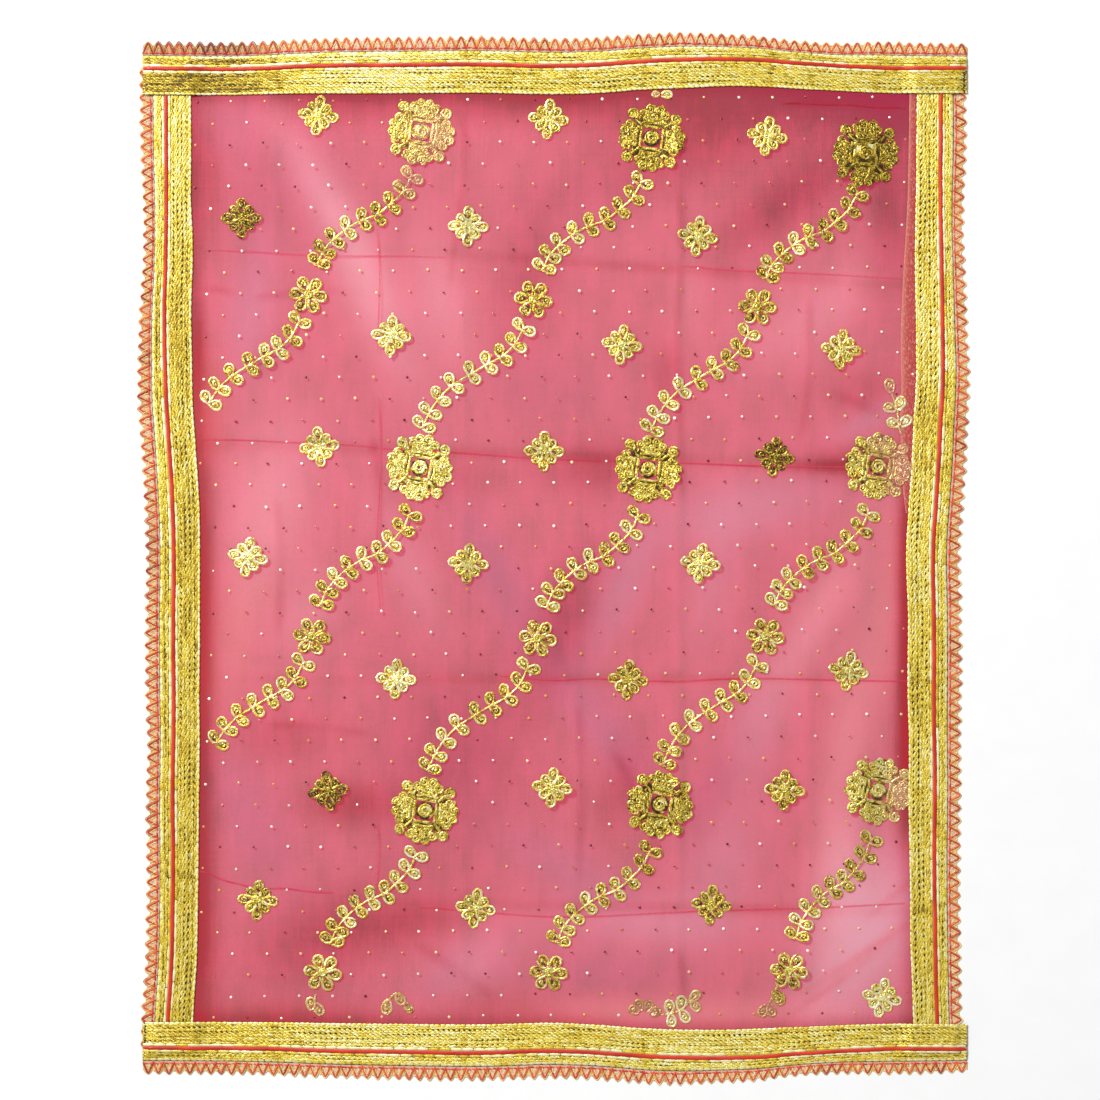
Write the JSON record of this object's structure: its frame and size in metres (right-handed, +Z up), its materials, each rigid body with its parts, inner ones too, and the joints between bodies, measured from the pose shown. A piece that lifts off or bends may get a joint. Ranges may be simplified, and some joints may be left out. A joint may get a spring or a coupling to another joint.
{
  "type": "chunri veil",
  "caption": "Rectangular see-through rose net veil cloth with gold foil vines, flowers and dots and a gold lace border with red teeth, laid out flat.",
  "frame": {"origin": "middle of the laid outline, on the surface that the veil rests on", "axes": "+Y up the veil's length towards the border shown at the top, +X towards its right side, +Z up, out of the surface that it lies on"},
  "size_m": [0.9228, 1.1657, 0.0094],
  "materials": {
    "net": "stiff see-through woven net with a soft sheen, printed with gold foil",
    "selvedge": "the same net turned in, denser and warmer in colour",
    "gold_lace": "knitted metallic gold yarn, bright and grainy",
    "red_cord": "smooth satin filler cord",
    "picot_edge": "red zigzag yarn edged with fine gold loops"
  },
  "bodies": {
    "root": {"net_panel": "net", "selvedge_turn": "selvedge", "lace_tape_left": "gold_lace", "lace_tape_right": "gold_lace", "lace_tape_top": "gold_lace", "lace_tape_bottom": "gold_lace", "red_cord_left": "red_cord", "red_cord_right": "red_cord", "red_cord_top": "red_cord", "red_cord_bottom": "red_cord", "picot_edge_left": "picot_edge", "picot_edge_right": "picot_edge", "picot_edge_top": "picot_edge", "picot_edge_bottom": "picot_edge"}
  },
  "joints": []
}
